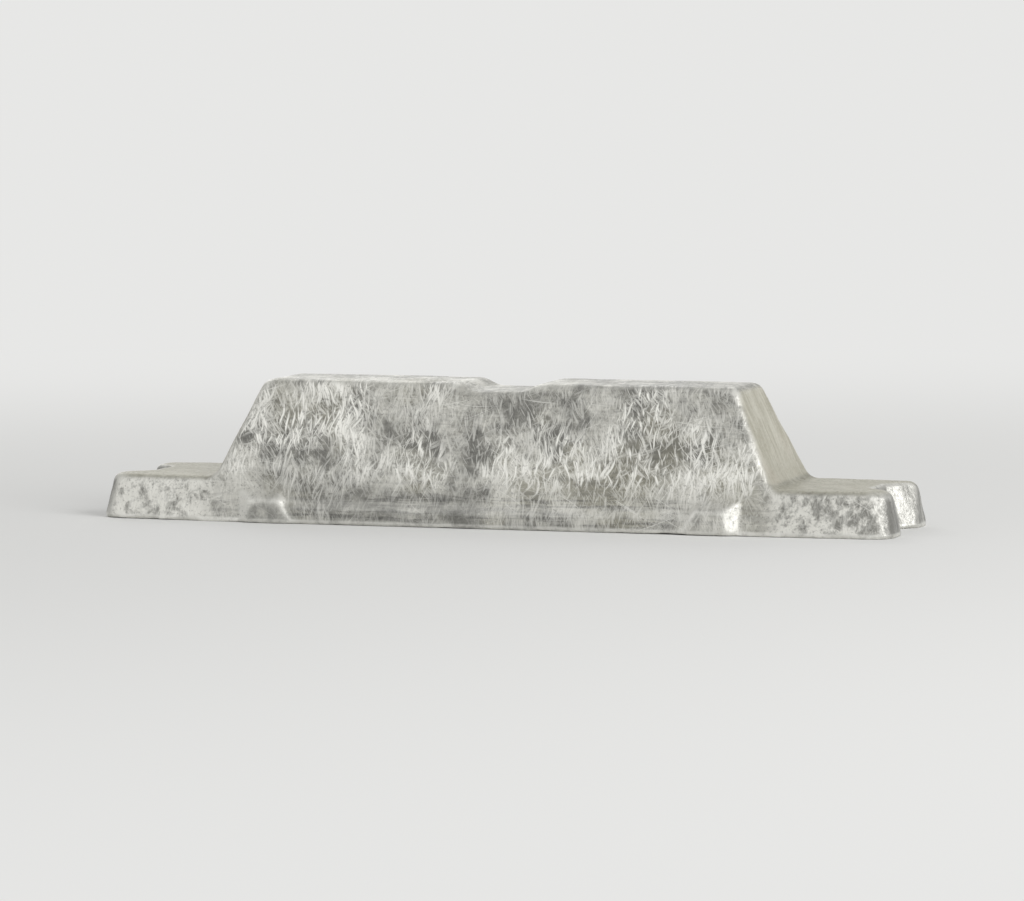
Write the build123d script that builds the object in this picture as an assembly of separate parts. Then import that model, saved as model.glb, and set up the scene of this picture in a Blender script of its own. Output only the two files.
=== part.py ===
from build123d import *
import os
from math import radians, tan

# A cast aluminium ingot of about 22.4 kg, one solid piece, lying on its wide
# pour face with the narrow mould face up. X runs along the ingot, Z is up, and
# the origin is the centre of the pour face. Millimetres and degrees.

# Density of the casting, in kilograms per cubic millimetre
DENSITY = 2.70e-6

# Bar between the two lugs
HEIGHT = 121.0
NARROW_LENGTH = 420.0
MID_WIDTH = 127.0
FLANK_DRAFT = 19.0
END_DRAFT = 24.0
BEND_ROUND = 12.0
EDGE_ROUND = 8.0

# Lugs at the two ends, level with the pour face
OVERALL_LENGTH = 700.0
LUG_THICKNESS = 38.0
LUG_TIP_WIDTH = 152.0
LUG_SIDE_DRAFT = 15.0
LUG_TIP_DRAFT = 9.0
LUG_CORNER = 18.0
LUG_SHOULDER = 12.0

# Notch in the middle of each lug's tip
NOTCH_MOUTH = 68.0
NOTCH_FLOOR = 30.0
NOTCH_DEPTH = 20.0
NOTCH_DRAFT = 13.0
NOTCH_ROUND = 4.0

# Steeper band along the foot of both flanks, and the slanted corners it ends in
RIM_WIDTH = 169.0
RIM_LENGTH = 442.0
RIM_BAND = 14.0
RIM_DRAFT = 5.0
RIM_STEP = 7.0
RIM_END_DRAFT = 20.0
RIM_END_SLANT = 32.0
RIM_ROUND = 3.0

# Four raised pads on the flanks, one at each end of the two bands
PAD_WIDTH = 174.0
PAD_LENGTH = 50.0
PAD_FACE = 20.0
PAD_STEP = 9.0
PAD_SLOPE = 33.0
PAD_ROUND = 3.0

# Shallow groove across the middle of the narrow face
GROOVE_WIDTH = 72.0
GROOVE_DEPTH = 7.0
GROOVE_FLANK = 63.0

# Two places nearer than this count as the same
NEAR = 0.01


def run(height, angle):
    """How far a face that leans by an angle moves sideways over a height."""
    return height * tan(radians(angle))


def flank_width(z):
    """Width across the two flanks of the bar at a height."""
    return MID_WIDTH + 2 * run(HEIGHT / 2 - z, FLANK_DRAFT)


def middle(edge):
    """The point half way along an edge."""
    return edge @ 0.5


def rise(edge):
    """Height between the two ends of an edge."""
    return abs((edge @ 0).Z - (edge @ 1).Z)


def is_level(edge, z):
    """Whether an edge lies level at a height."""
    return rise(edge) < NEAR and abs(middle(edge).Z - z) < NEAR


def slab(low, high, z_low, z_high):
    """A drafted block between two flat outlines, one above the other."""
    return loft([Pos(0, 0, z_low) * low, Pos(0, 0, z_high) * high], ruled=True)


FOOT_LENGTH = NARROW_LENGTH + 2 * run(HEIGHT - LUG_THICKNESS, END_DRAFT)
FOOT_WIDTH = flank_width(LUG_THICKNESS)
ROOT_WIDTH = FOOT_WIDTH + 2 * run(LUG_THICKNESS, LUG_SIDE_DRAFT)


def make_side_view():
    """Ledges, sloping ends, crown and groove: the side view, run across the ingot."""
    end_x = OVERALL_LENGTH
    groove_x = GROOVE_WIDTH / 2
    floor_x = groove_x - run(GROOVE_DEPTH, GROOVE_FLANK)
    half = [(end_x, 0), (end_x, LUG_THICKNESS), (FOOT_LENGTH / 2, LUG_THICKNESS),
            (NARROW_LENGTH / 2, HEIGHT), (groove_x, HEIGHT), (floor_x, HEIGHT - GROOVE_DEPTH)]
    mirrored = [(-x, z) for x, z in reversed(half)]
    profile = make_face(Polyline(half + mirrored, close=True))
    bends = [v for v in profile.vertices() if abs(v.X) < end_x - NEAR]
    return extrude(Plane.XZ * fillet(bends, BEND_ROUND), RIM_WIDTH, both=True)


def make_bar():
    """The bar above the lugs, between its two leaning flanks."""
    foot = Rectangle(OVERALL_LENGTH, FOOT_WIDTH)
    crown = Rectangle(OVERALL_LENGTH, flank_width(HEIGHT))
    return make_side_view() & slab(foot, crown, LUG_THICKNESS, HEIGHT)


def lug_plan(z):
    """Outline of both lugs and what joins them, at a height; the lugs' tapered sides are flat."""
    root_x = FOOT_LENGTH / 2 + LUG_SHOULDER
    taper = (ROOT_WIDTH - LUG_TIP_WIDTH) / 2 / (OVERALL_LENGTH / 2 - root_x)
    root_y = ROOT_WIDTH / 2 - run(z, LUG_SIDE_DRAFT)
    tip_x = OVERALL_LENGTH / 2 - run(z, LUG_TIP_DRAFT)
    tip_y = root_y - taper * (tip_x - root_x)
    half = [(tip_x, tip_y), (root_x, root_y), (-root_x, root_y), (-tip_x, tip_y)]
    return make_face(Polyline(half + [(x, -y) for x, y in reversed(half)], close=True))


def make_lugs():
    """The slab under the bar, whose two ends are the lugs."""
    lugs = slab(lug_plan(0), lug_plan(LUG_THICKNESS), 0, LUG_THICKNESS)
    near_tip = FOOT_LENGTH / 2 + 2 * LUG_SHOULDER
    uprights = [e for e in lugs.edges() if rise(e) > LUG_THICKNESS - NEAR]
    return fillet([e for e in uprights if abs(middle(e).X) > near_tip], LUG_CORNER)


def make_body():
    """Bar and lugs in one, with one soft edge round the crown, the ends and the ledges."""
    body = make_bar() + make_lugs()
    foot_x = FOOT_LENGTH / 2 + BEND_ROUND
    upper = [e for e in body.edges() if middle(e).Z > LUG_THICKNESS - NEAR]
    outline = [e for e in upper if abs(middle(e).Y) > NEAR or abs(middle(e).X) > foot_x]
    flank_feet = [e for e in outline if is_level(e, LUG_THICKNESS) and abs(middle(e).X) < NEAR]
    return fillet([e for e in outline if e not in flank_feet], EDGE_ROUND)


def slanted_corner(z, half_width):
    """X where the slanted corner of a band reaches a distance from the middle, at a height."""
    end_x = RIM_LENGTH / 2 - run(z, RIM_END_DRAFT)
    return end_x - (half_width - ROOT_WIDTH / 2) / tan(radians(RIM_END_SLANT))


def rim_plan(z, width):
    """Outline of the bar's foot with its four slanted corners, at a height."""
    core = FOOT_WIDTH / 2 - LUG_SHOULDER
    half = [(slanted_corner(z, core), core), (slanted_corner(z, width / 2), width / 2)]
    upper = half + [(-x, y) for x, y in reversed(half)]
    return Pos(0, 0, z) * make_face(Polyline(upper + [(-x, -y) for x, y in upper], close=True))


def make_rim():
    """The foot of the bar: the flanks carried down, and the steeper band with its step."""
    step_top = RIM_BAND + RIM_STEP
    plans = [
        rim_plan(0, RIM_WIDTH),
        rim_plan(RIM_BAND, RIM_WIDTH - 2 * run(RIM_BAND, RIM_DRAFT)),
        rim_plan(step_top, flank_width(step_top)),
        rim_plan(LUG_THICKNESS, FOOT_WIDTH)]
    rim = Part() + [loft(pair, ruled=True) for pair in zip(plans, plans[1:])]
    shoulders = [e for e in rim.edges() if is_level(e, RIM_BAND) and abs(middle(e).X) < NEAR]
    return fillet(shoulders, RIM_ROUND)


def pad_plan(z, width):
    """Outline of one pad at a height, drawn into the bar."""
    core = FOOT_WIDTH / 2 - LUG_SHOULDER
    inner_x = RIM_LENGTH / 2 - PAD_LENGTH + run(z, PAD_SLOPE)
    outline = Polyline((slanted_corner(z, core), core), (slanted_corner(z, width / 2), width / 2),
                       (inner_x, width / 2), (inner_x - PAD_LENGTH / 2, core), close=True)
    return Pos(0, 0, z) * make_face(outline)


def make_pad():
    """One pad: an upright face that stands out from the leaning flank, and a sloping top."""
    top = PAD_FACE + PAD_STEP
    plans = [
        pad_plan(0, PAD_WIDTH),
        pad_plan(PAD_FACE, PAD_WIDTH - 2 * run(PAD_FACE, RIM_DRAFT)),
        pad_plan(top, flank_width(top))]
    pad = Part() + [loft(pair, ruled=True) for pair in zip(plans, plans[1:])]
    brow = [e for e in pad.edges() if is_level(e, PAD_FACE) and abs((e @ 0).Y - (e @ 1).Y) < NEAR]
    return fillet(brow, PAD_ROUND)


def notch_plan(z):
    """Outline of one notch at a height, drawn past the lug's tip."""
    grow = run(z, NOTCH_DRAFT)
    mouth_x = OVERALL_LENGTH / 2 + NOTCH_DEPTH
    floor_x = OVERALL_LENGTH / 2 - NOTCH_DEPTH - grow
    splay = (NOTCH_MOUTH - NOTCH_FLOOR) / 2 / NOTCH_DEPTH
    half_floor = NOTCH_FLOOR / 2 + grow
    half_mouth = half_floor + splay * (mouth_x - floor_x)
    return make_face(Polyline((floor_x, half_floor), (floor_x, -half_floor),
                              (mouth_x, -half_mouth), (mouth_x, half_mouth), close=True))


def make_notch():
    """The notch in one lug's tip, wider and deeper at the ledge than at the pour face."""
    over = NOTCH_DEPTH / 2
    notch = slab(notch_plan(-over), notch_plan(LUG_THICKNESS + over), -over, LUG_THICKNESS + over)
    inner = [e for e in notch.edges() if (e @ 0).X < OVERALL_LENGTH / 2 and (e @ 1).X < OVERALL_LENGTH / 2]
    return fillet([e for e in inner if rise(e) > LUG_THICKNESS], NOTCH_ROUND)


pad = make_pad()
pads = [pad, pad.mirror(Plane.YZ), pad.mirror(Plane.XZ), pad.rotate(Axis.Z, 180)]
notch = make_notch()
ingot = make_body() + make_rim() + pads - notch - notch.rotate(Axis.Z, 180)

if __name__ == "__main__":
    print(ingot.is_valid, ingot.volume, ingot.volume * DENSITY, len(ingot.solids()))
    os.makedirs("parts", exist_ok=True)
    export_step(ingot, "parts/ingot.step")
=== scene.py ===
import bpy
import math
import numpy as np
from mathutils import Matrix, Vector, noise
from types import SimpleNamespace


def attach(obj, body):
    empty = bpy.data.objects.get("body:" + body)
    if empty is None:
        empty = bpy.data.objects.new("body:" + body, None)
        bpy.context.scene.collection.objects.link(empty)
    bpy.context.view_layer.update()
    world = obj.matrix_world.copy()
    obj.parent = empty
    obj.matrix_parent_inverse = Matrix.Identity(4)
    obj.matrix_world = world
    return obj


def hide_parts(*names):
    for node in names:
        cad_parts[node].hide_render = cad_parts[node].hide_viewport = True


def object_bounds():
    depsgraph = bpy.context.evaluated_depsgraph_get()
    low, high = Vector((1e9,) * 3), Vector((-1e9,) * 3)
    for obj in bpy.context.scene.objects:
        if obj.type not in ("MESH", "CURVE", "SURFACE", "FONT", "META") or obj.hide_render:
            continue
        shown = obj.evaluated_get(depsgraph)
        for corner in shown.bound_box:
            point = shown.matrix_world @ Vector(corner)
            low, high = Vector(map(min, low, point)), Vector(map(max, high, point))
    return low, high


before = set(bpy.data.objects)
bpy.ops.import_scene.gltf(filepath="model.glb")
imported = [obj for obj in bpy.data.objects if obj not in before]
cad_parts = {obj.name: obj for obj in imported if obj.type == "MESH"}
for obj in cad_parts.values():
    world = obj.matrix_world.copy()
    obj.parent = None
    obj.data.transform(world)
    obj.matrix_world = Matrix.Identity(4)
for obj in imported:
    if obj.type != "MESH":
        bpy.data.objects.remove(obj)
cad_low, cad_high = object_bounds()

# Heights and reaches of the casting's faces in metres, as the solid has them
HEIGHT = cad_high.z
MIDDLE = Vector((0, 0, HEIGHT / 2))
LEDGE = 0.038
FOOT_HALF = 0.247
NOTCH_HALF = 0.046
NOTCH_FLOOR = 0.318
BAND_TOP = 0.021
PAD_START = 0.171

# How far from the pour face, its edge and the crown the skin still belongs to each of them
POUR_REACH = 0.006
POUR_EDGE_REACH = 0.010
CROWN_REACH = 0.020

# Height of the painted highlight along the lip over the pour face, and length of a knock on an arris
LIP = 0.0026
KNOCK = 0.022

# Width of one cell of the skin's mesh, and how near two vertices are when they are one
CELL = 0.0022
SAME_PLACE = 0.00002

# Rounds of rubbing, all over and where the casting is worn most
WORN_ROUNDS = 3
POUR_EDGE_ROUNDS = 12
KNOCK_ROUNDS = 16

# The relief: its name, depth, size of hollow in metres, the part that it is limited to, its stretch.
# With no size the part sinks evenly.
RELIEF = (
    ("slack_faces", 0.0020, 0.11, "open_face", (1, 1, 1)),
    ("dents", 0.0012, 0.030, "open_face", (1, 1, 1)),
    ("grain", 0.00035, 0.008, "open_face", (1, 1, 1)),
    ("laps", 0.0008, 0.007, "lapped", (9, 1, 1)),
    ("scored_flanks", 0.0005, 0.005, "lapped", (1, 5, 5)),
    ("runs_down_ends", 0.0006, 0.008, "end", (8, 1, 8)),
    ("runs_down_tips", 0.0009, 0.006, "tip", (7, 1, 7)),
    ("shrunk_middle", 0.0020, None, "pour_middle", (1, 1, 1)),
    ("pour_ripples", 0.0014, 0.020, "pour", (1, 2.5, 1)))


def clear_selection():
    """Nothing stays selected, so an operator acts only on what is picked next."""
    bpy.ops.object.select_all(action="DESELECT")


def pick(piece):
    """Makes one piece the only selected and the active one."""
    clear_selection()
    piece.select_set(True)
    bpy.context.view_layer.objects.active = piece


def soft_step(low, high, value):
    """0 below low, 1 above high, soft between, for a whole array."""
    t = np.clip((value - low) / (high - low), 0.0, 1.0)
    return t * t * (3 - 2 * t)


# The cast skin

def merged_solid(name):
    """A copy of the casting's solid with its loose triangles joined."""
    copy = bpy.data.objects.new(name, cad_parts["ingot"].data.copy())
    bpy.context.scene.collection.objects.link(copy)
    pick(copy)
    bpy.ops.object.mode_set(mode="EDIT")
    bpy.ops.mesh.select_all(action="SELECT")
    bpy.ops.mesh.remove_doubles(threshold=SAME_PLACE)
    bpy.ops.object.mode_set(mode="OBJECT")
    return copy


def cast_skin():
    """A closed even mesh of the casting, with its sharp edges worn soft."""
    skin = merged_solid("ingot_skin")
    skin.data.materials.clear()
    even = skin.modifiers.new("even_mesh", "REMESH")
    even.mode = "VOXEL"
    even.voxel_size = CELL
    bpy.ops.object.modifier_apply(modifier="even_mesh")
    solid = merged_solid("solid_shape")
    true_shape = skin.modifiers.new("true_shape", "SHRINKWRAP")
    true_shape.target = solid
    pick(skin)
    bpy.ops.object.modifier_apply(modifier="true_shape")
    bpy.data.objects.remove(solid)
    worn = skin.modifiers.new("worn_edges", "SMOOTH")
    worn.factor = 0.5
    worn.iterations = WORN_ROUNDS
    bpy.ops.object.modifier_apply(modifier="worn_edges")
    return skin


def places_and_normals(skin):
    """Places and normals of all vertices, as two arrays."""
    mesh = skin.data
    places = np.empty(len(mesh.vertices) * 3, np.float32)
    normals = np.empty(len(mesh.vertices) * 3, np.float32)
    mesh.vertices.foreach_get("co", places)
    mesh.vertices.foreach_get("normal", normals)
    return places.reshape(-1, 3), normals.reshape(-1, 3)


def edge_ends(skin):
    """The two vertices of every edge, and how many edges meet at each vertex."""
    ends = np.empty(len(skin.data.edges) * 2, np.int32)
    skin.data.edges.foreach_get("vertices", ends)
    a, b = ends.reshape(-1, 2).T
    count = np.bincount(ends, minlength=len(skin.data.vertices))
    return a, b, count


def spread(values, edges, rounds):
    """Values softened over the skin, once a round with the neighbours of each vertex."""
    a, b, count = edges
    for _ in range(rounds):
        around = np.bincount(a, values[b], len(values)) + np.bincount(b, values[a], len(values))
        values = (values + around / count) / 2
    return values


def bend_of(skin, edges):
    """How far the surface bends at each vertex: above 0 on an arris, below 0 in a hollow."""
    places, normals = places_and_normals(skin)
    a, b, count = edges
    step = places[b] - places[a]
    length = np.linalg.norm(step, axis=1) + 1e-9
    bend = np.bincount(a, -(step * normals[a]).sum(1) / length, len(places))
    bend += np.bincount(b, (step * normals[b]).sum(1) / length, len(places))
    return bend / count


def keep_in_size(skin):
    """No vertex lies outside the casting's real size."""
    places, normals = places_and_normals(skin)
    skin.data.vertices.foreach_set("co", np.clip(places, cad_low, cad_high).astype(np.float32).ravel())
    skin.data.update()


def paint(skin, name, values):
    """Stores one value a vertex as a named attribute that the finish reads."""
    layer = skin.data.attributes.new(name, "FLOAT", "POINT")
    layer.data.foreach_set("value", values.astype(np.float32))


def weigh(skin, name, values, steps=20):
    """Stores the values as a vertex group, which limits the relief to a part of the skin."""
    group = skin.vertex_groups.new(name=name)
    levels = np.round(np.clip(values, 0, 1) * steps).astype(int)
    for level in range(1, steps + 1):
        group.add([int(i) for i in np.nonzero(levels == level)[0]], level / steps, "REPLACE")


def mark_faces(skin):
    """Marks which face of the casting each vertex belongs to."""
    places, normals = places_and_normals(skin)
    x, y, z = np.abs(places[:, 0]), np.abs(places[:, 1]), places[:, 2]
    nx, ny, nz = np.abs(normals[:, 0]), np.abs(normals[:, 1]), normals[:, 2]
    at_lug = soft_step(FOOT_HALF - 0.025, FOOT_HALF + 0.015, x)
    past_foot = soft_step(0.0, 0.012, x - FOOT_HALF)
    upright = 1 - soft_step(0.45, 0.75, np.abs(nz))
    in_notch = (x > NOTCH_FLOOR) & (y < NOTCH_HALF)
    edges = edge_ends(skin)
    bend = bend_of(skin, edges)
    fine_bend = spread(bend, edges, 1)
    wide_bend = spread(bend, edges, 3)
    open_face = 1 - soft_step(0.10, 0.26, np.abs(wide_bend))
    marks = {
        "pour": soft_step(0.75, 0.95, -nz) * (z < POUR_REACH),
        "flank": soft_step(0.40, 0.70, ny) * (1 - at_lug),
        "lug_side": soft_step(0.6, 0.9, ny) * at_lug * (1 - in_notch),
        "end": soft_step(0.55, 0.8, nx) * (z > LEDGE - 0.004) * (1 - past_foot),
        "tip": np.maximum(soft_step(0.3, 0.65, nx), in_notch) * upright * (x > FOOT_HALF + 0.02),
        "ledge": soft_step(0.6, 0.9, nz) * at_lug,
        "crown": soft_step(0.4, 0.7, nz) * (z > HEIGHT - CROWN_REACH),
        "shelf": soft_step(0.45, 0.70, nz) * (z < LEDGE) * (1 - at_lug),
        "shoulder": soft_step(0.25, 0.45, nx) * (z < LEDGE) * (1 - at_lug),
        "pad": soft_step(PAD_START - 0.008, PAD_START + 0.008, x) * (z < LEDGE) * (1 - at_lug),
        "arris": soft_step(0.03, 0.11, fine_bend),
        "hollow": soft_step(0.04, 0.2, -fine_bend)}
    for name, values in marks.items():
        marks[name] = spread(values, edges, 2)
        paint(skin, name, marks[name])
    for name in ("pour", "end", "tip"):
        weigh(skin, name, marks[name] * open_face)
    weigh(skin, "lapped", marks["flank"] * (1 - marks["shoulder"]) * open_face)
    weigh(skin, "open_face", open_face)
    inner_y = soft_step(0.0, 0.06, cad_high.y - 0.012 - y)
    inner_x = soft_step(0.0, 0.10, cad_high.x - 0.03 - x)
    weigh(skin, "pour_middle", marks["pour"] * inner_y * inner_x)
    weigh(skin, "pour_edge", soft_step(0.04, 0.12, wide_bend) * (z < POUR_EDGE_REACH))
    knocked = soft_step(0.03, 0.16, wide_bend)
    for i in np.nonzero(knocked)[0]:
        spot = Vector(places[i]) / KNOCK
        knocked[i] *= 0.5 + noise.noise(spot) + 0.5 * noise.noise(spot * 3)
    weigh(skin, "knocked", knocked)


def work(skin, name, depth, size, group, stretch):
    """Sinks the skin evenly, or where a size is given, works soft hollows and swells into it."""
    push = skin.modifiers.new(name, "DISPLACE")
    push.strength = -depth
    push.mid_level = 0.5 if size else 0.0
    push.vertex_group = group
    guide = bpy.data.objects.new(name + "_guide", None)
    bpy.context.scene.collection.objects.link(guide)
    if size:
        hollows = bpy.data.textures.new(name, "CLOUDS")
        hollows.noise_scale = size
        hollows.noise_depth = 2
        guide.scale = stretch
        bpy.context.view_layer.update()
        push.texture = hollows
        push.texture_coords = "OBJECT"
        push.texture_coords_object = guide
    pick(skin)
    bpy.ops.object.modifier_apply(modifier=name)
    bpy.data.objects.remove(guide)


def wear(skin, name, group, rounds):
    """Rubs a part of the skin softer, which takes its arrises down."""
    rub = skin.modifiers.new(name, "SMOOTH")
    rub.factor = 0.5
    rub.iterations = rounds
    rub.vertex_group = group
    pick(skin)
    bpy.ops.object.modifier_apply(modifier=name)


def work_relief(skin):
    """Knocked arrises, slack faces and dents, laps along the flanks, runs down the ends."""
    wear(skin, "soft_pour_edge", "pour_edge", POUR_EDGE_ROUNDS)
    wear(skin, "knocks", "knocked", KNOCK_ROUNDS)
    for name, depth, size, group, stretch in RELIEF:
        work(skin, name, depth, size, group, stretch)
    keep_in_size(skin)


# The finish

class Sheet:
    """A node tree, with short ways to add and join its nodes."""

    def __init__(self, tree):
        self.tree = tree
        self.tree.nodes.clear()

    def add(self, kind, **settings):
        """A new node with some of its settings."""
        made = self.tree.nodes.new(kind)
        for key, value in settings.items():
            setattr(made, key, value)
        return made

    def join(self, source, target):
        """A link from one socket to another."""
        self.tree.links.new(source, target)

    def feed(self, socket, value):
        """Gives a socket a value, or a link from another socket."""
        if isinstance(value, bpy.types.NodeSocket):
            self.join(value, socket)
        elif isinstance(value, tuple) and len(value) == 3 and socket.type == "RGBA":
            socket.default_value = (*value, 1.0)
        else:
            socket.default_value = value

    def stretched(self, place, cell, lean=0.0):
        """Coordinates in which one unit is a cell of the given size, leaning about Y."""
        made = self.add("ShaderNodeMapping", vector_type="TEXTURE")
        self.feed(made.inputs["Vector"], place)
        self.feed(made.inputs["Rotation"], (0.0, lean, 0.0))
        self.feed(made.inputs["Scale"], cell)
        return made.outputs["Vector"]

    def noise(self, place, cell, detail=2.0, rough=0.5, lean=0.0, colour=False):
        """Soft noise whose features are about one cell large."""
        size = cell if isinstance(cell, tuple) else (cell, cell, cell)
        made = self.add("ShaderNodeTexNoise")
        self.feed(made.inputs["Vector"], self.stretched(place, size, lean))
        self.feed(made.inputs["Scale"], 1.0)
        self.feed(made.inputs["Detail"], detail)
        self.feed(made.inputs["Roughness"], rough)
        return made.outputs["Color" if colour else "Fac"]

    def math(self, operation, a, b=0.0, c=0.0):
        """One sum of up to three values."""
        made = self.add("ShaderNodeMath", operation=operation)
        for socket, value in zip(made.inputs, (a, b, c)):
            self.feed(socket, value)
        return made.outputs[0]

    def times(self, *values):
        """The product of several masks."""
        product = values[0]
        for value in values[1:]:
            product = self.math("MULTIPLY", product, value)
        return product

    def most(self, *values):
        """The largest of several masks."""
        largest = values[0]
        for value in values[1:]:
            largest = self.math("MAXIMUM", largest, value)
        return largest

    def step(self, value, low, high, to_low=0.0, to_high=1.0):
        """A soft rise from one value to another."""
        made = self.add("ShaderNodeMapRange", interpolation_type="SMOOTHSTEP")
        self.feed(made.inputs["Value"], value)
        self.feed(made.inputs["From Min"], low)
        self.feed(made.inputs["From Max"], high)
        self.feed(made.inputs["To Min"], to_low)
        self.feed(made.inputs["To Max"], to_high)
        return made.outputs["Result"]

    def mix(self, share, a, b):
        """One colour turning into another by a mask."""
        made = self.add("ShaderNodeMix", data_type="RGBA")
        self.feed(made.inputs[0], share)
        self.feed(made.inputs[6], a)
        self.feed(made.inputs[7], b)
        return made.outputs[2]

    def overlaid(self, a, share_a, b, share_b):
        """Two patterns laid over each other, each by its share."""
        return self.math("MULTIPLY_ADD", a, share_a, self.times(b, share_b))

    def marks(self, *names):
        """The masks painted on the skin, by their names."""
        masks = [self.add("ShaderNodeAttribute", attribute_name=name).outputs["Fac"] for name in names]
        return SimpleNamespace(**dict(zip(names, masks)))


# Colours of the metal's skin, as the shader takes them
DEEP_GREY = (0.100, 0.099, 0.092)
FLANK_GREY = (0.190, 0.188, 0.172)
PALE_GREY = (0.470, 0.463, 0.422)
FROST = (0.920, 0.912, 0.865)
CREAM = (0.580, 0.562, 0.478)
DIM_CREAM = (0.420, 0.402, 0.322)
WARM_CREAM = (0.560, 0.500, 0.420)
OLIVE = (0.290, 0.277, 0.212)
PALE_OLIVE = (0.405, 0.391, 0.318)
BRIGHT = (0.760, 0.755, 0.715)
SIDE_GREY = (0.260, 0.257, 0.236)
PALE_SIDE = (0.710, 0.702, 0.657)
SILVER = (0.470, 0.466, 0.438)
SHADE = (0.240, 0.238, 0.222)
POUR_GREY = (0.420, 0.418, 0.395)
POUR_PALE = (0.600, 0.596, 0.565)


# Lean, width, length and strength of the strokes in each layer
STROKES = (
    (0.08, 0.0034, 0.019, 1.0),
    (-0.30, 0.0028, 0.017, 1.0),
    (0.42, 0.0030, 0.018, 0.9),
    (-0.75, 0.0024, 0.014, 0.6),
    (1.15, 0.0026, 0.016, 0.5),
    (0.00, 0.0014, 0.015, 0.8),
    (-0.55, 0.0012, 0.012, 0.7))

# Lean and length of the long scratches, and how wide they are
SCRATCHES = ((1.25, 0.06), (-1.10, 0.045), (0.65, 0.04), (-1.45, 0.07))
SCRATCH_WIDTH = 0.0010


def curved(sheet, place, cell, reach):
    """The same place pushed about softly, so that what is drawn on it curves."""
    drift = sheet.add("ShaderNodeVectorMath", operation="MULTIPLY_ADD")
    sheet.feed(drift.inputs[0], sheet.noise(place, cell, 1.0, colour=True))
    sheet.feed(drift.inputs[1], (reach, reach, reach))
    sheet.feed(drift.inputs[2], place)
    return drift.outputs[0]


def frost_strokes(sheet, place):
    """Pale brushed strokes, mostly upright, each made of finer lines, bunched in patches."""
    bent = curved(sheet, place, 0.035, 0.014)
    kept = sheet.step(sheet.noise(place, 0.075, 2.0), 0.40, 0.56, 0.45, 1.0)
    layers = []
    for lean, width, length, level in STROKES:
        bunch = sheet.noise(place, 0.02 + length / 2, 2.0)
        body = sheet.noise(bent, (width, length, length), 1.0, lean=lean)
        lines = sheet.noise(bent, (width * 0.3, length, length), 0.0, lean=lean)
        bunched = sheet.math("MULTIPLY_ADD", bunch, 0.45, body)
        stroke = sheet.step(bunched, 0.76, 0.89, 0.0, level)
        layers.append(sheet.times(stroke, sheet.step(lines, 0.34, 0.56, 0.40, 1.0)))
    return sheet.times(sheet.most(*layers), kept)


def handling_scratches(sheet, place):
    """A few long thin scratches at odd leans."""
    bent = curved(sheet, place, 0.07, 0.016)
    rubbed = sheet.step(sheet.noise(place, 0.05, 1.0), 0.46, 0.60)
    layers = []
    for lean, length in SCRATCHES:
        line = sheet.noise(bent, (SCRATCH_WIDTH, length, length), 0.0, lean=lean)
        layers.append(sheet.step(line, 0.74, 0.80))
    return sheet.times(sheet.most(*layers), rubbed)


def skin_patterns(sheet, place):
    """The patterns of the cast skin, each by the size of its cells in metres."""
    return SimpleNamespace(
        patches=sheet.noise(place, 0.055, 3.0, 0.6),
        clouds=sheet.noise(place, 0.011, 4.0, 0.62),
        specks=sheet.noise(place, 0.0024, 3.0, 0.6),
        tarnish=sheet.noise(place, 0.085, 3.0, 0.55),
        drips=sheet.noise(curved(sheet, place, 0.03, 0.008), (0.06, 0.005, 0.06), 3.0, 0.55),
        glints=sheet.noise(curved(sheet, place, 0.03, 0.010), (0.05, 0.013, 0.09), 4.0, 0.55),
        laps=sheet.noise(curved(sheet, place, 0.05, 0.006), (0.045, 0.045, 0.0028), 3.0, 0.6),
        ripples=sheet.noise(curved(sheet, place, 0.06, 0.030), (0.007, 0.05, 0.05), 4.0, 0.6),
        smudges=sheet.noise(curved(sheet, place, 0.02, 0.010), (0.008, 0.03, 0.009), 4.0, 0.65))


def face_tones(sheet, pattern, face, height):
    """The colour of each face of the casting, before laps, strokes and wear, with a painted highlight
    on the shoulders and painted dark reflections streaking the tips.
    """
    blend = sheet.overlaid(pattern.patches, 0.7, pattern.clouds, 0.5)
    grey = sheet.mix(sheet.step(blend, 0.48, 0.72), FLANK_GREY, PALE_GREY)
    grey = sheet.mix(sheet.step(pattern.tarnish, 0.48, 0.66, 0.0, 0.55), grey, OLIVE)
    streaked = sheet.overlaid(pattern.drips, 0.5, pattern.patches, 0.5)
    cream = sheet.mix(sheet.step(streaked, 0.40, 0.60), DIM_CREAM, CREAM)
    cream = sheet.mix(sheet.step(pattern.tarnish, 0.50, 0.68, 0.0, 0.6), cream, WARM_CREAM)
    cream = sheet.mix(sheet.step(height, LEDGE, LEDGE + 0.035, 0.55, 0.0), cream, PALE_OLIVE)
    rippled = sheet.overlaid(pattern.ripples, 0.6, pattern.patches, 0.4)
    skimmed = sheet.mix(sheet.step(rippled, 0.36, 0.64), POUR_GREY, POUR_PALE)
    smudged = sheet.overlaid(pattern.smudges, 0.7, pattern.patches, 0.3)
    beige = sheet.mix(sheet.step(smudged, 0.40, 0.56), SIDE_GREY, PALE_SIDE)
    olive = sheet.mix(sheet.step(pattern.clouds, 0.25, 0.80), OLIVE, PALE_OLIVE)
    # The tips' silver is streaked with SHADE, a painted dark reflection
    silver_with_painted_reflections = sheet.mix(sheet.step(pattern.glints, 0.38, 0.60), SHADE, SILVER)
    tone = sheet.mix(face.end, grey, cream)
    tone = sheet.mix(face.pour, tone, skimmed)
    tone = sheet.mix(face.lug_side, tone, beige)
    tone = sheet.mix(face.ledge, tone, olive)
    tone = sheet.mix(face.tip, tone, silver_with_painted_reflections)
    # The shoulders, where the rim band ends, get a painted highlight
    return sheet.mix(sheet.times(face.shoulder, 0.75), tone, BRIGHT)


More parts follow.
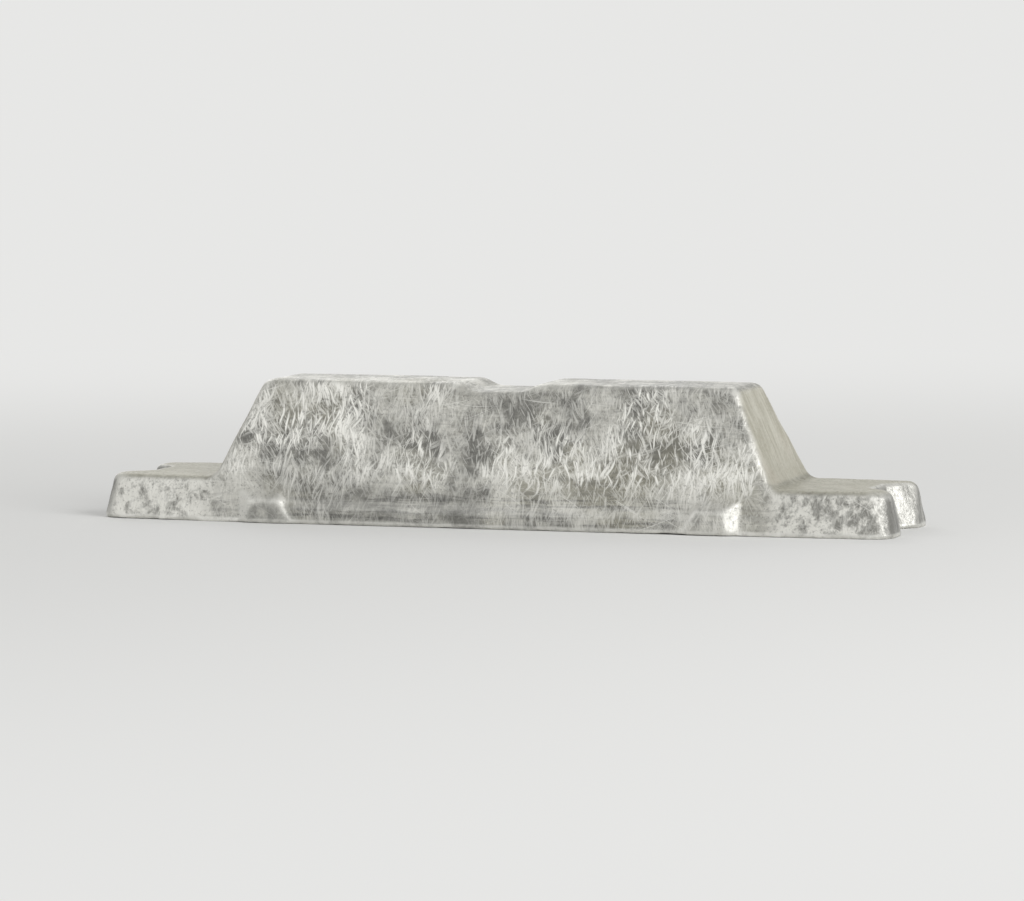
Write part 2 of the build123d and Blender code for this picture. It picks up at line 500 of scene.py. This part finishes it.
def cast_aluminium():
    """Mould-side skin: grey flanks with pale frost, cream ends, olive ledges, bright tips and arrises.
    """
    material = bpy.data.materials.new("cast_aluminium_skin")
    material.use_nodes = True
    sheet = Sheet(material.node_tree)
    place = sheet.add("ShaderNodeTexCoord").outputs["Object"]
    along = sheet.add("ShaderNodeSeparateXYZ")
    sheet.join(place, along.inputs[0])
    height = along.outputs["Z"]
    shader = sheet.add("ShaderNodeBsdfPrincipled")
    out = sheet.add("ShaderNodeOutputMaterial")
    sheet.join(shader.outputs[0], out.inputs["Surface"])

    pattern = skin_patterns(sheet, place)
    face = sheet.marks("flank", "end", "tip", "ledge", "lug_side", "pour", "shelf", "shoulder", "crown",
                       "pad", "arris", "hollow")
    tone = face_tones(sheet, pattern, face, height)

    # Dark laps along the flanks, deepened along the foot by painted shade, and a painted highlight on
    # the shelves and pads
    # Laps are kept off the shoulders and pads, which stay light as a painted highlight
    highlit_shoulders_and_pads = sheet.most(face.shoulder, sheet.times(face.pad, 0.6))
    lapped = sheet.times(face.flank, sheet.math("SUBTRACT", 1.0, highlit_shoulders_and_pads))
    # Painted shade: the laps are darker along the foot of the flanks
    painted_foot_shade = sheet.step(height, BAND_TOP, BAND_TOP + 0.012, 1.0, 0.0)
    lap_and_foot_shade_level = sheet.math("MULTIPLY_ADD", painted_foot_shade, 0.50, 0.25)
    dark_laps_and_foot_shade = sheet.times(sheet.step(pattern.laps, 0.46, 0.62), lap_and_foot_shade_level, lapped)
    tone = sheet.mix(dark_laps_and_foot_shade, tone, DEEP_GREY)
    # Painted highlight on the upward-facing shelves and on the pads
    shelf_and_pad_highlight = sheet.most(sheet.times(face.shelf, 0.25), sheet.times(face.pad, face.flank, 0.15))
    tone = sheet.mix(shelf_and_pad_highlight, tone, FROST)

    # Brushed strokes, scratches and pits
    strokes = frost_strokes(sheet, place)
    frost_level = sheet.step(height, BAND_TOP, BAND_TOP + 0.03, 0.45, 1.0)
    partly = sheet.most(sheet.times(face.lug_side, 0.8), sheet.times(face.crown, 0.5))
    scored = sheet.most(face.flank, partly, sheet.times(face.shelf, 0.7), 0.10)
    tone = sheet.mix(sheet.times(strokes, frost_level, scored), tone, FROST)
    scratches = handling_scratches(sheet, place)
    tone = sheet.mix(sheet.times(scratches, scored, 0.6), tone, BRIGHT)
    pit_level = sheet.math("MULTIPLY_ADD", face.end, -0.25, 0.45)
    pits = sheet.times(sheet.step(pattern.specks, 0.56, 0.72), pit_level)
    tone = sheet.mix(pits, tone, DEEP_GREY)

    # Arrises and the lip over the pour face get a painted highlight, partly rubbed wear, and the
    # hollows a painted shade
    sides = sheet.most(face.flank, face.lug_side, face.tip)
    # A painted highlight along the lip over the pour face and along the arrises, partly rubbed wear
    pour_lip_highlight = sheet.times(sheet.step(height, LIP, LIP * 2, 1.0, 0.0), sides)
    worn = sheet.step(pattern.clouds, 0.30, 0.55, 0.45, 0.95)
    arris = sheet.times(sheet.most(face.arris, pour_lip_highlight), worn)
    tone = sheet.mix(arris, tone, BRIGHT)
    # Painted shade in the hollows
    tone = sheet.mix(sheet.times(face.hollow, 0.45), tone, DIM_CREAM)
    sheet.feed(shader.inputs["Base Color"], tone)

    rough = sheet.step(pattern.specks, 0.3, 0.7, 0.44, 0.62)
    rough = sheet.math("SUBTRACT", rough, sheet.times(sheet.most(face.tip, arris), 0.09))
    sheet.feed(shader.inputs["Roughness"], rough)
    dull = sheet.most(sheet.times(face.end, 0.35), sheet.times(face.ledge, 0.30))
    metal = sheet.math("SUBTRACT", sheet.math("MULTIPLY_ADD", face.tip, 0.25, 0.60), dull)
    sheet.feed(shader.inputs["Metallic"], metal)

    raised = sheet.overlaid(pattern.specks, 0.6, strokes, 0.3)
    raised = sheet.math("ADD", raised, sheet.times(pattern.laps, lapped, 0.6))
    raised = sheet.math("ADD", raised, sheet.times(pattern.drips, face.end, 0.8))
    raised = sheet.math("ADD", raised, sheet.times(pattern.glints, face.tip, 1.4))
    raised = sheet.math("ADD", raised, sheet.times(pattern.ripples, face.pour, 1.2))
    bump = sheet.add("ShaderNodeBump")
    sheet.feed(bump.inputs["Strength"], 0.45)
    sheet.feed(bump.inputs["Distance"], 0.0008)
    sheet.feed(bump.inputs["Height"], raised)
    sheet.join(bump.outputs["Normal"], shader.inputs["Normal"])
    return material


skin = cast_skin()
mark_faces(skin)
work_relief(skin)
bpy.ops.object.shade_smooth()
skin.data.materials.append(cast_aluminium())
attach(skin, "root")
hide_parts("ingot")


# The studio

PALE_FLOOR = (0.90, 0.90, 0.89)
PALE_ROOM = (0.80, 0.80, 0.79)


def seen_directly(sheet):
    """1 for the camera's own rays and for what metal and glass mirror, 0 for light."""
    path = sheet.add("ShaderNodeLightPath").outputs
    return sheet.most(path["Is Camera Ray"], path["Is Glossy Ray"], path["Is Transmission Ray"])


def pale_floor(near, far):
    """A plain floor that keeps the casting's shadow and turns into the pale room far off."""
    clear_selection()
    bpy.ops.mesh.primitive_plane_add(size=60, location=(0, 0, 0))
    floor = bpy.context.active_object
    floor.name = "floor"
    material = bpy.data.materials.new("pale_floor")
    material.use_nodes = True
    sheet = Sheet(material.node_tree)
    distance = sheet.add("ShaderNodeVectorMath", operation="LENGTH")
    sheet.join(sheet.add("ShaderNodeTexCoord").outputs["Object"], distance.inputs[0])
    matt = sheet.add("ShaderNodeBsdfDiffuse")
    sheet.feed(matt.inputs["Color"], PALE_FLOOR)
    haze = sheet.add("ShaderNodeEmission")
    sheet.feed(haze.inputs["Color"], PALE_ROOM)
    blend = sheet.add("ShaderNodeMixShader")
    far_off = sheet.step(distance.outputs["Value"], near, far)
    sheet.feed(blend.inputs[0], sheet.times(far_off, seen_directly(sheet)))
    sheet.join(matt.outputs[0], blend.inputs[1])
    sheet.join(haze.outputs[0], blend.inputs[2])
    sheet.join(blend.outputs[0], sheet.add("ShaderNodeOutputMaterial").inputs["Surface"])
    floor.data.materials.append(material)


def aimed(name, data, place):
    """Sets up a lamp or camera so that it faces the middle of the casting."""
    holder = bpy.data.objects.new(name, data)
    holder.location = place
    holder.rotation_mode = "QUATERNION"
    holder.rotation_quaternion = (MIDDLE - Vector(place)).to_track_quat("-Z", "Y")
    bpy.context.scene.collection.objects.link(holder)
    return holder


def soft_lamp(name, place, width, power):
    """A soft square lamp that faces the casting."""
    lamp = bpy.data.lights.new(name, "AREA")
    lamp.size = width
    lamp.energy = power
    aimed(name, lamp, place)


def pale_room(strength):
    """The room round the casting: it lights softly, and shows its own pale colour behind."""
    world = bpy.data.worlds.new("pale_room")
    bpy.context.scene.world = world
    world.use_nodes = True
    sheet = Sheet(world.node_tree)
    air = sheet.add("ShaderNodeBackground")
    sheet.feed(air.inputs["Color"], PALE_ROOM)
    shown = sheet.math("MULTIPLY_ADD", seen_directly(sheet), 1.0 - strength, strength)
    sheet.feed(air.inputs["Strength"], shown)
    sheet.join(air.outputs[0], sheet.add("ShaderNodeOutputWorld").inputs["Surface"])


def photo_camera(azimuth, elevation, distance, lens):
    """A camera at the photograph's angle, far off with a long lens."""
    data = bpy.data.cameras.new("camera")
    data.lens = lens
    data.clip_end = 100
    a, e = math.radians(azimuth), math.radians(elevation)
    back = Vector((math.sin(a) * math.cos(e), -math.cos(a) * math.cos(e), math.sin(e)))
    bpy.context.scene.camera = aimed("camera", data, MIDDLE + back * distance)


pale_floor(near=0.30, far=2.6)
soft_lamp("key", place=(3.2, -1.6, 1.9), width=2.4, power=80)
soft_lamp("fill", place=(-2.4, -2.6, 1.5), width=2.0, power=8)
soft_lamp("back", place=(-1.4, 2.8, 1.8), width=2.4, power=24)
pale_room(strength=0.57)
photo_camera(azimuth=17.0, elevation=4.5, distance=4.2, lens=172)
bpy.context.scene.view_settings.view_transform = "Standard"
